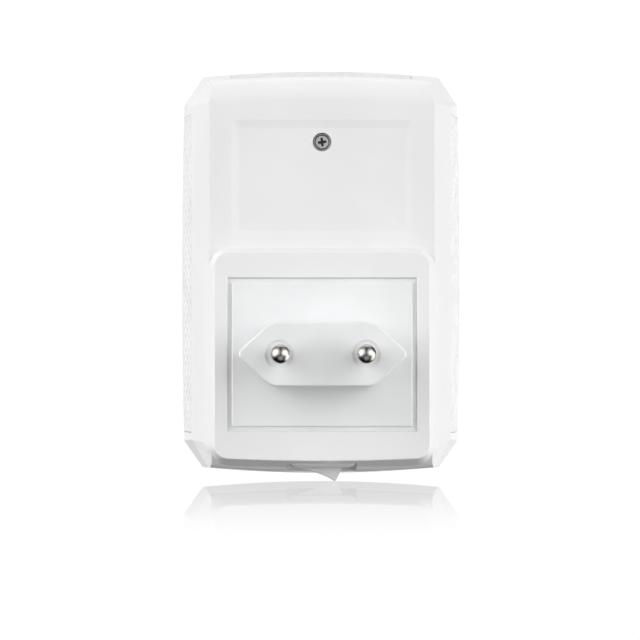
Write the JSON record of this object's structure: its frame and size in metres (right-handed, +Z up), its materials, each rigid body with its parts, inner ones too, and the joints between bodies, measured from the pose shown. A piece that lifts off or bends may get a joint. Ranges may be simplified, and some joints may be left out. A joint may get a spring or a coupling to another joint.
{
  "type": "ultrasonic pest repeller",
  "caption": "White plug-in ultrasonic pest repeller: bevelled casing with a raised plug pad, two round mains pins and a rocker switch under the bottom edge.",
  "frame": {"origin": "centre of the plug boss face, midway between the two pins where they leave it", "axes": "-Y out along the pins towards the wall socket, +Y towards the room side of the casing, +Z up, +X to the right when looking along +Y at the pins"},
  "size_m": [0.0626, 0.0695, 0.0914],
  "materials": {
    "casing_white": "moulded satin white ABS",
    "insert_white": "moulded smooth white plastic",
    "trim_white": "fine embossed white plastic",
    "grille_white": "satin white plastic",
    "pin_metal": "bright nickel plate",
    "sleeve_white": "smooth insulating sleeve",
    "contact_brass": "stamped strip",
    "screw_steel": "zinc plated",
    "spring_steel": "bare spring wire",
    "switch_grey": "moulded pale grey nylon",
    "rocker_white": "moulded white nylon",
    "clamp_natural": "natural moulded plastic",
    "cone_foil": "thin spun foil",
    "disc_brass": "thin sheet",
    "ceramic_silver": "fired ceramic",
    "mesh_black": "fine dust mesh",
    "gasket_black": "closed-cell foam",
    "lens_clear": "clear acrylic",
    "led_red": "tinted epoxy",
    "board_green": "solder resist over glass fibre",
    "wire_brown": "insulated wire",
    "wire_blue": "insulated wire",
    "wire_red": "insulated wire",
    "capacitor_yellow": "moulded box",
    "varistor_blue": "dipped coating",
    "fuse_green": "cement coating",
    "diode_black": "moulded epoxy",
    "can_black": "shrink sleeve over a can",
    "ferrite_grey": "sintered ferrite",
    "bobbin_black": "moulded bobbin",
    "winding_copper": "enamelled copper wire",
    "resistor_tan": "lacquered body",
    "zener_glass": "glass bead",
    "ceramic_tan": "dipped disc"
  },
  "bodies": {
    "casing": {"rear_housing": "casing_white", "front_housing": "casing_white", "plug_insert": "insert_white", "side_panel_left": "trim_white", "side_panel_right": "trim_white", "top_panel": "trim_white", "speaker_grille": "grille_white", "plug_pin_left": "pin_metal", "plug_pin_right": "pin_metal", "pin_sleeve_left": "sleeve_white", "pin_sleeve_right": "sleeve_white", "pin_contact_left": "contact_brass", "pin_contact_right": "contact_brass", "switch_terminal_common": "contact_brass", "switch_terminal_load": "contact_brass", "housing_screw": "screw_steel", "clamp_screws": "screw_steel", "board_screws": "screw_steel", "transducer_screws": "screw_steel", "switch_body": "switch_grey", "plug_clamp": "clamp_natural", "lamp_spacer": "clamp_natural", "transducer_housing": "clamp_natural", "transducer_cone": "cone_foil", "piezo_disc": "disc_brass", "piezo_ceramic": "ceramic_silver", "dust_mesh": "mesh_black", "speaker_gasket": "gasket_black", "lamp_lens": "lens_clear", "lamp_led": "led_red", "circuit_board": "board_green", "wire_pin_to_switch": "wire_brown", "wire_switch_to_board": "wire_brown", "wire_pin_to_board": "wire_blue", "transducer_wires": "wire_red", "film_capacitor": "capacitor_yellow", "varistor": "varistor_blue", "fuse_resistor": "fuse_green", "rectifier_diodes": "diode_black", "transistors": "diode_black", "controller_ic": "diode_black", "electrolytic_capacitors": "can_black", "coil_core": "ferrite_grey", "coil_bobbin": "bobbin_black", "coil_winding": "winding_copper", "resistors": "resistor_tan", "zener_diode": "zener_glass", "ceramic_capacitors": "ceramic_tan"},
    "rocker": {"switch_rocker": "rocker_white", "switch_plunger": "contact_brass", "switch_spring": "spring_steel"},
    "bridge": {"switch_bridge": "contact_brass"}
  },
  "joints": [
    {"name": "rocker_hinge", "type": "hinge", "parent": "casing", "child": "rocker", "pos_m": [0, 0.02005, -0.0226], "axis": [0, 1, 0], "range_deg": [-38, 0]},
    {"name": "bridge_hinge", "type": "hinge", "parent": "casing", "child": "bridge", "pos_m": [0, 0.02005, -0.0176], "axis": [0, 1, 0], "range_deg": [0, 16.01]}
  ],
  "couplings": [
    {"joint": "bridge_hinge", "follows": "rocker_hinge", "ratio": -0.42105}
  ]
}
